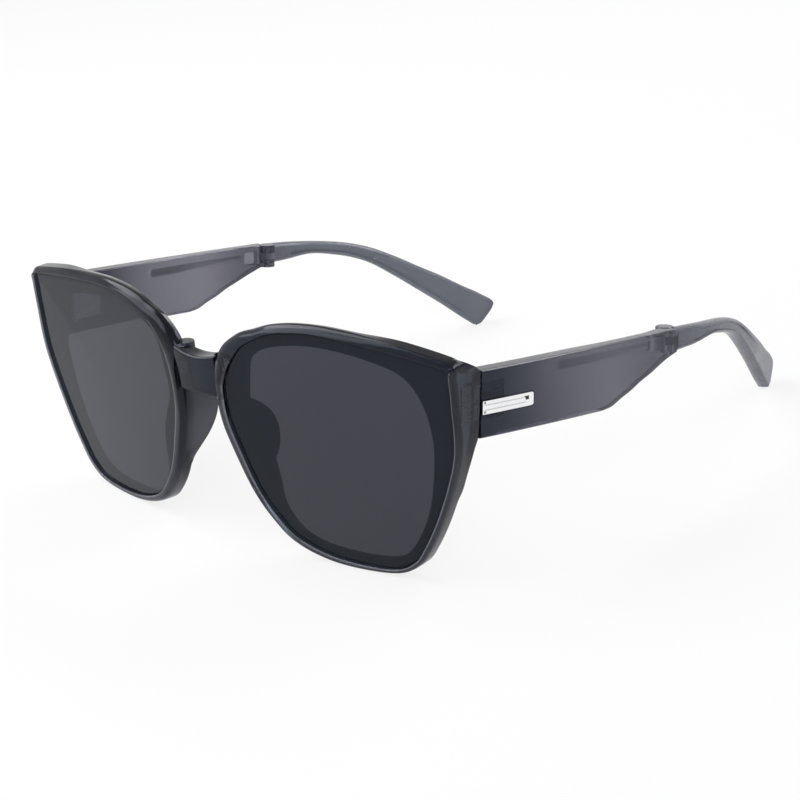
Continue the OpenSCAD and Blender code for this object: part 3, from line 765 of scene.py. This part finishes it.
def rim_rings():
    """One closed section for every point round the lens, and the share of painted highlight that each
    point gets.
    """
    inner = facing(edge)
    gaps = np.linalg.norm(inner - edge, axis=1)
    inward = (inner - edge) / gaps[:, None]
    reach, thick, nasal = wall_depths()
    corner = upper * smooth(edge[:, 0], *steps_from(OUTER_S, CORNER_RAMP))
    narrow = RIM_NARROWING * upper - (RIM_NARROWING + CORNER_WIDENING) * corner
    proud = LIP_PROUD * (1 - TOP_PROUD_SHARE * upper)
    flatness = 1 + SIDE_FLATNESS * (1 - upper)
    bend = BEND + LIP_PROUD - CORNER_BEND * corner
    rings, glow = [], []
    for i, sizes in enumerate(zip(lip, gaps, reach, thick, proud, bend, flatness, narrow)):
        out, back = rim_section(*sizes).T
        # Painted highlight: full on the lip's edge points, a little on the arc, none on top, less at the
        # nose
        highlight_share = (1 - upper[i]) * (NOSE_HIGHLIGHT if nasal[i] else 1)
        glow.append([highlight_share if k in LIP_POINTS else ARC_HIGHLIGHT * highlight_share if k in ARC_POINTS else 0
                     for k in range(len(out))])
        beyond, within = edge[i] + normals[i] * out[:, None], edge[i] - inward[i] * out[:, None]
        flat = np.where(out[:, None] >= 0, beyond, within)
        extra = np.maximum(back - RIM_BACK, 0)
        ring = in_front(flat[:, 0], np.minimum(back, RIM_BACK), flat[:, 1])
        ring[:, 1] += extra
        if nasal[i]:
            ring[:, 0] += extra * math.tan(PAD_FLARE)
            ring[:, 0] += np.minimum(extra, 1) * RIM_BACK * math.sin(WRAP)
        ring[:, 2] = np.maximum(ring[:, 2], 0)
        rings.append(ring)
    return rings, glow


def make_rim(side, sign):
    """The rim with its end piece, nose pad and the outer knuckles of the bridge hinge."""
    rings, glow = rim_rings()
    obj = build(f"rim_body_{side}", *skin(rings, wrap=True), sign)
    # Each point's share of the painted highlight line on the lip
    mark = obj.data.attributes.new("lip_highlight", "FLOAT", "POINT")
    mark.data.foreach_set("value", np.ravel(glow))
    outside(obj)
    x0, x1 = AXIS_X + SEAM_GAP / 2, AXIS_X + BRIDGE_R * BLOCK_SHARE
    y0, y1 = LINK_FRONT + BLOCK_SET - MIDDLE, AXIS_Y - MIDDLE
    block = plate("block", x0, x1, y0, y1, LINK_LOW, LINK_TOP - BLOCK_DROP, sign)
    obj = combine(obj, rounded(block, BLOCK_ROUND), "UNION")
    obj = outer_knuckles(obj, bridge_axis, BRIDGE_R, BARREL_LOW, BARREL_TOP, BRIDGE_DOME, sign,
                         KNUCKLE_DROP[side])
    link_room = plate("room", 0, x0, y0 - 2, y1 - BRIDGE_R,
                      LINK_LOW - SWEEP_GAP, LINK_TOP + SWEEP_GAP, sign)
    obj = combine(obj, link_room, "DIFFERENCE")
    obj = clear_hinge(obj, sign)
    return finish_piece(obj, f"rim_{side}", "frame_plastic", rim_plastic, f"rim_{side}")


def make_lens(side, sign):
    """A shallow dome over the lens outline, flat behind, with a rounded edge."""
    rim = edge - normals * LENS_PLAY
    rings = []
    for back, cuts in ((True, LENS_CUTS[::-1]), (False, LENS_CUTS)):
        for k in cuts:
            p = middle + (rim - middle) * k
            from_edge = 1 - min(1, (1 - k) / LENS_EDGE_SHARE)
            round_off = LENS_EDGE_R * (1 - math.sqrt(max(0, 1 - from_edge ** 2)))
            y = LENS_T - round_off if back else round_off - LENS_DOME * (1 - k * k)
            rings.append(in_front(p[:, 0], np.full(len(p), y), p[:, 1]))
    obj = outside(build(f"lens_glass_{side}", *skin(rings), sign))
    return finish_piece(obj, f"rim_{side}", "lens_tint", lens_tint, f"lens_{side}")


# Bridge link

def make_link():
    """The saddle link: a bowed front, a dipped top and a knuckle at each end."""
    half = AXIS_X - SEAM_GAP / 2
    rings = []
    for x in np.linspace(-half, half, 41):
        u = x / half
        top = LINK_TOP - SADDLE_DIP * math.cos(QUARTER * u)
        front = LINK_FRONT + SADDLE_BOW * u * u - SADDLE_SET
        ring = rounded_ring(front, LINK_FRONT + LINK_D, LINK_LOW, top, LINK_RADII)
        rings.append(np.c_[np.full(len(ring), x), ring[:, 0] - MIDDLE, ring[:, 1]])
    obj = outside(build("bridge_saddle", *skin(rings)))
    for _, sign in SIDES:
        obj = middle_knuckle(obj, bridge_axis, BRIDGE_R, BARREL_LOW, BARREL_TOP, sign)
    return finish_piece(obj, "bridge", "frame_plastic", rim_plastic, "bridge_link")


# Temples

def bow(y):
    """How far the temple bends outward along its length."""
    return BOW * np.sin(np.clip(y / TEMPLE_LEN, 0, 1) ** 0.8 * math.pi)


def inner_relief(y, z):
    """How far a temple's inner face lies outside its plain plane: groove, window and thinning."""
    off = np.hypot(np.minimum(y - GROOVE_START, 0), z - GROOVE_MID)
    groove = GROOVE_DEPTH * smooth(GROOVE_HALF + GROOVE_EASE - off, 0, GROOVE_BLEND)
    groove *= 1 - smooth(y, *steps_from(GROOVE_END, GROOVE_STOP))
    window = WINDOW_DEPTH * smooth(y, *steps_from(GROOVE_END, WINDOW_RISE))
    window *= 1 - smooth(y, *steps_from(GROOVE_END, WINDOW_FALL))
    window *= smooth(WINDOW_HALF - np.abs(z - GROOVE_MID + WINDOW_DROP), 0, WINDOW_EDGE)
    thin = THINNING * smooth(y, *shares_of(0, TEMPLE_LEN, THIN_RISE))
    thin *= 1 - smooth(y, *steps_from(TEMPLE_LEN, THIN_FALL))
    return groove + window + thin


def make_temple(side, sign):
    """The front half of a temple, up to the fold, with a pocket for the inlay."""
    lower = line(LOWER_SHARES, 6)
    y0, y1 = SEAM_GAP / 2, TEMPLE_LEN - SEAM_GAP / 2
    # Closer together where the groove starts and from its end on
    cuts = np.r_[np.linspace(y0 + 0.3, GROOVE_START - 2, 16)[:-1],
                 np.linspace(GROOVE_START - 2, GROOVE_START + 1, 14)[:-1],
                 np.linspace(GROOVE_START + 1, GROOVE_END - 0.3, 44)[:-1],
                 np.linspace(GROOVE_END - 0.3, y1 - 0.2, 52)]
    stations = [(y0 + step, inset) for step, inset in END_ROUNDING]
    stations += [(cut, 0) for cut in cuts]
    stations += [(y1 - step, inset) for step, inset in END_ROUNDING[::-1]]
    rings = []
    for y, inset in stations:
        bottom = -TEMPLE_H + (TEMPLE_H - FOLD_H) * along(lower, y / TEMPLE_LEN)
        ring = rounded_ring(INNER_X + inset, TEMPLE_X - inset, bottom + inset, -inset,
                            TEMPLE_RADII, TEMPLE_FLATS)
        inward = smooth(TEMPLE_X - ring[:, 0], TEMPLE_T * 0.5, TEMPLE_T * 0.85)
        ring[:, 0] += inner_relief(y, ring[:, 1]) * inward + bow(y)
        rings.append(in_temple(ring[:, 0], np.full(len(ring), y), ring[:, 1]))
    obj = outside(build(f"temple_body_{side}", *skin(rings), sign))
    obj = outer_knuckles(obj, fold_axis, FOLD_R, FOLD_LOW, FOLD_TOP, FOLD_DOME, sign)
    obj = clear_hinge(obj, sign)
    y, z = inlay_outline(INLAY_PLAY).T
    pocket = [in_temple(TEMPLE_X + bow(y) + x, y, z) for x in (-INLAY_T, 1)]
    obj = combine(obj, outside(build("pocket", *skin(pocket), sign)), "DIFFERENCE")
    return finish_piece(obj, f"temple_{side}", "frame_plastic", temple_plastic,
                        f"temple_front_{side}")


# Rear arms

def arm_section(top, bottom, centre, direction, half, flutes, square):
    """A rounded section of the rear arm with a flute in each face; square turns it across the temple."""
    h, mid = (top - bottom) / 2, (top + bottom) / 2
    r = min(half * 0.95, h * 0.9, ARM_R)
    ring = []
    for face, (width, depth), lower_edge in zip((1, -1), flutes, (FLUTE_EDGE, INNER_FLUTE_EDGE)):
        v = np.linspace(-h + r, h - r, 25)[::face]
        dip = depth * smooth(width + v, 0, FLUTE_EDGE) * smooth(width - v, 0, lower_edge)
        ring += [(face * (half - d), mid + z) for z, d in zip(v, dip)]
        for t in np.linspace(0, math.pi, 13)[1:-1]:
            ring.append((face * (math.cos(t) * half), mid + face * (h - r) + face * r * math.sin(t)))
    ring = np.array(ring)
    across = direction[1] + (1 / direction[1] - direction[1]) * square
    x = centre[0] + across * ring[:, 0]
    y = centre[1] - direction[0] * (1 - square) * ring[:, 0]
    return in_temple(x, y, ring[:, 1])


def flute(q, height, rise, fall, width):
    """Half width and depth of a flute at share q of the arm."""
    share, change, low, high = width
    depth = FLUTE_DEPTH * smooth(q, *rise) * (1 - smooth(q, *fall))
    return height * (share + change * smooth(q, low, high)), depth


def arm_drop():
    """How far the arm's middle comes down from the fold to the tip."""
    whole = SEAM_Z - (TEMPLE_LEN + ARM_LEN) * math.sin(SLOPE) + FLOOR_CUT
    return whole / math.cos(SLOPE) - TIP_H / 2 - FOLD_H / 2


def tip_outline():
    """The paddle's upper and lower edge past its middle: a squared end with round corners."""
    step = np.subtract(ARM_SHARES[-1], ARM_SHARES[-2])
    lean = math.atan2(arm_drop() * step[1], ARM_LEN * step[0])
    c, n = math.cos(lean), math.sin(lean)
    r = TIP_H * TIP_ROUND_SHARE
    out, side = TIP_H * TIP_CUT_SHARE - r, TIP_H / 2 * c - r
    corners = []
    for k, turn in ((1, QUARTER - lean), (-1, -lean)):
        a = np.linspace(turn, turn - QUARTER, 9)
        corners.append(np.c_[out * c + k * side * n + r * np.cos(a),
                             -out * n + k * side * c + r * np.sin(a)])
    high, low = corners
    far = int(np.argmax(high[:, 0]))
    top = np.vstack([(0, TIP_H / 2), high[:far + 1]])
    bottom = np.vstack([low[::-1], high[:far - 1:-1]])
    return top, bottom[np.argsort(bottom[:, 0])]


def make_arm(side, sign):
    """The rear half of a temple, down and inwards to its tip."""
    arm, plan = line(ARM_SHARES, 6), line(CURVE_SHARES, 8)
    drop = arm_drop()
    tip = tip_outline()
    tip_end = tip[0][-1, 0]
    # Shares of the length, closer together where the flutes start
    cuts = np.r_[[SEAM_GAP / 2 / ARM_LEN], np.linspace(0.006, 0.1, 10),
                 np.linspace(0.105, 0.16, 16), np.linspace(0.175, 1, 66)]
    tail = np.sin(np.linspace(0, QUARTER, 26))[1:] * tip_end
    step = 0.02
    rings = []
    for q in [*cuts, *(1 + tail / ARM_LEN)]:
        past, k = max(0.0, (q - 1) * ARM_LEN), min(q, 1.0)
        mid = -FOLD_H / 2 - drop * along(arm, k)
        height = FOLD_H + (TIP_H - FOLD_H) * along(arm, k, 2)
        top, bottom = mid + height / 2, mid - height / 2
        if past > 0:
            top, bottom = (mid + along(outline, past) for outline in tip)
        centre = TEMPLE_X - TEMPLE_T / 2 - ARM_IN * along(plan, q), TEMPLE_LEN + ARM_LEN * q
        turn = -ARM_IN * (along(plan, q + step) - along(plan, q - step)) / (2 * step * ARM_LEN)
        direction = np.array([turn, 1.0]) / math.hypot(turn, 1)
        half = (TEMPLE_T + (TIP_T - TEMPLE_T) * k) / 2
        half *= math.sqrt(1 - TIP_THINNING * max(0, 1 - (tip_end - past) / TIP_EDGE) ** 2)
        flutes = [flute(q, height, *kind) for kind in (OUTER_FLUTE, INNER_FLUTE)]
        square = float(smooth(past, 0, tip_end * 0.8))
        rings.append(arm_section(top, bottom, centre, direction, half, flutes, square))
    rings = np.array(rings)
    rings[..., 2] = np.maximum(rings[..., 2], 0)
    obj = outside(build(f"arm_body_{side}", *skin(rings), sign))
    obj = middle_knuckle(obj, fold_axis, FOLD_R, FOLD_LOW, FOLD_TOP, sign)
    return finish_piece(obj, f"arm_{side}", "arm_plastic", arm_plastic, f"temple_rear_{side}")


# Inlays

def inlay_outline(grow=0.0):
    """The inlay's outline in the temple's frame, with rounded rear corners."""
    front, h = INLAY_FRONT - grow, INLAY_H / 2 + grow
    rear, r = front + INLAY_L + 2 * grow, INLAY_R + grow
    low = [(y, INLAY_MID - h) for y in np.linspace(front, rear - r, 7)[:-1]]
    low += [(rear - r + r * math.sin(t), INLAY_MID - h + r - r * math.cos(t))
            for t in np.linspace(0, QUARTER, 6)]
    return np.array([*low, *((y, 2 * INLAY_MID - z) for y, z in low[::-1])])


def inlay_cut(sign, y0, y1, z0, z1, depth):
    """A cut into the inlay's face, with sloping sides."""
    rings = []
    for x, grow in ((INLAY_PROUD - depth, -0.06), (INLAY_PROUD + 0.2, 0.08)):
        y = np.array([y0 - grow, y1 + grow, y1 + grow, y0 - grow])
        z = np.array([z0 - grow, z0 - grow, z1 + grow, z1 + grow])
        rings.append(in_temple(TEMPLE_X + bow(y) + x, y, z))
    return outside(build("cut", *skin(rings), sign))


def narrow_heights(h, shares):
    """The low and high edge of narrow cuts at shares of the inlay's half height."""
    return [(z - SLOT_HALF, z + SLOT_HALF) for z in shares_of(INLAY_MID, h, shares)]


def make_inlay(side, sign):
    """A bright bar with two long grooves, a pit behind them and a pin hole at each front corner."""
    y, z = inlay_outline().T
    rings = [in_temple(TEMPLE_X + bow(y) + x, y, z) for x in (INLAY_PROUD - INLAY_T, INLAY_PROUD)]
    obj = rounded(outside(build(f"inlay_bar_{side}", *skin(rings), sign)), 0.1, 2)
    h = INLAY_H / 2
    pit, dot = shares_of(INLAY_FRONT, INLAY_L, PIT_SPAN), steps_from(INLAY_FRONT, DOT_SPAN)
    slot = (INLAY_FRONT + SLOT_START, pit[0])
    cuts = [(*slot, *narrow, SLOT_DEPTH) for narrow in narrow_heights(h, SLOT_HEIGHTS)]
    cuts.append((*pit, *shares_of(INLAY_MID, h, PIT_HEIGHTS), THROUGH))
    cuts += [(*dot, *narrow, THROUGH) for narrow in narrow_heights(h, DOT_HEIGHTS)]
    for cut in cuts:
        obj = combine(obj, inlay_cut(sign, *cut), "DIFFERENCE")
    return finish_piece(obj, f"temple_{side}", "silver_metal", silver, f"inlay_{side}")


# Floor, light and camera

def ray_sum(tree):
    """1 for camera, glossy and transmission rays."""
    path = tree.nodes.new("ShaderNodeLightPath")
    total = path.outputs["Is Camera Ray"]
    for name in ("Is Glossy Ray", "Is Transmission Ray"):
        total = math_node(tree, "ADD", total, path.outputs[name])
        total.node.use_clamp = True
    return total


def add_floor():
    """A pale floor just under the feet, which keeps the shadow."""
    mesh = bpy.data.meshes.new("floor")
    s, z = FLOOR_HALF, -FLOOR_DROP * MM
    mesh.from_pydata([(-s, -s, z), (s, -s, z), (s, s, z), (-s, s, z)], [], [(0, 1, 2, 3)])
    obj = bpy.data.objects.new("floor", mesh)
    bpy.context.scene.collection.objects.link(obj)
    m = bpy.data.materials.new("floor_white")
    m.use_nodes = True
    tree = m.node_tree
    tree.nodes.clear()
    out = tree.nodes.new("ShaderNodeOutputMaterial")
    diffuse = tree.nodes.new("ShaderNodeBsdfDiffuse")
    diffuse.inputs["Color"].default_value = FLOOR_COLOUR
    glow = tree.nodes.new("ShaderNodeEmission")
    glow.inputs["Color"].default_value = (1, 1, 1, 1)
    mix = tree.nodes.new("ShaderNodeMixShader")
    tree.links.new(math_node(tree, "MULTIPLY", ray_sum(tree), FLOOR_GLOW), mix.inputs[0])
    tree.links.new(diffuse.outputs[0], mix.inputs[1])
    tree.links.new(glow.outputs[0], mix.inputs[2])
    tree.links.new(mix.outputs[0], out.inputs["Surface"])
    obj.data.materials.append(m)


def add_world():
    """White all round for seen rays, dimmer high up, and a plain level for the rest."""
    world = bpy.data.worlds.new("studio")
    bpy.context.scene.world = world
    world.use_nodes = True
    tree = world.node_tree
    back = tree.nodes["Background"]
    back.inputs["Color"].default_value = (1, 1, 1, 1)
    coords = tree.nodes.new("ShaderNodeTexCoord")
    split = tree.nodes.new("ShaderNodeSeparateXYZ")
    link(tree, coords, "Generated", split, "Vector")
    low = spread(tree, split, "Z", 1.0, SKY_TOP, *SKY_FADE)
    low.interpolation_type = "SMOOTHSTEP"
    share = math_node(tree, "MULTIPLY", ray_sum(tree), low.outputs["Result"])
    level = spread(tree, share.node, "Value", SKY_LEVEL, 1.0, 0, 1)
    link(tree, level, "Result", back, "Strength")


def add_lamp(name, place_at, size, power):
    data = bpy.data.lights.new(name, "AREA")
    data.shape = "RECTANGLE"
    data.size, data.size_y = size
    data.energy = power
    obj = bpy.data.objects.new(name, data)
    bpy.context.scene.collection.objects.link(obj)
    obj.location = place_at
    aim = Vector(LAMP_AIM) - Vector(place_at)
    obj.rotation_euler = aim.to_track_quat("-Z", "Y").to_euler()


def add_camera():
    """The photograph's camera."""
    data = bpy.data.cameras.new("photo_view")
    data.sensor_width = SENSOR
    data.lens = FOCAL_PX / PHOTO_WIDTH * SENSOR
    data.clip_start = 0.01
    obj = bpy.data.objects.new("photo_view", data)
    bpy.context.scene.collection.objects.link(obj)
    back = Vector((math.sin(VIEW_AZ) * math.cos(VIEW_EL), -math.cos(VIEW_AZ) * math.cos(VIEW_EL),
                   math.sin(VIEW_EL)))
    right = Vector((math.cos(VIEW_AZ), math.sin(VIEW_AZ), 0))
    up = back.cross(right)
    c, s = math.cos(VIEW_ROLL), math.sin(VIEW_ROLL)
    m = Matrix((right * c + up * s, up * c - right * s, back)).transposed().to_4x4()
    m.translation = VIEW_AIM + back * VIEW_DISTANCE
    obj.matrix_world = m
    bpy.context.scene.camera = obj


make_link()
for side, sign in SIDES:
    make_rim(side, sign)
    make_lens(side, sign)
    make_temple(side, sign)
    make_arm(side, sign)
    make_inlay(side, sign)
for obj in frame["nodes"].values():
    if not obj.hide_render:
        obj.data.materials.clear()
        obj.data.materials.append(steel)
add_floor()
add_world()
add_camera()
for lamp in LAMPS:
    add_lamp(*lamp)
bpy.context.scene.view_settings.view_transform = "Standard"
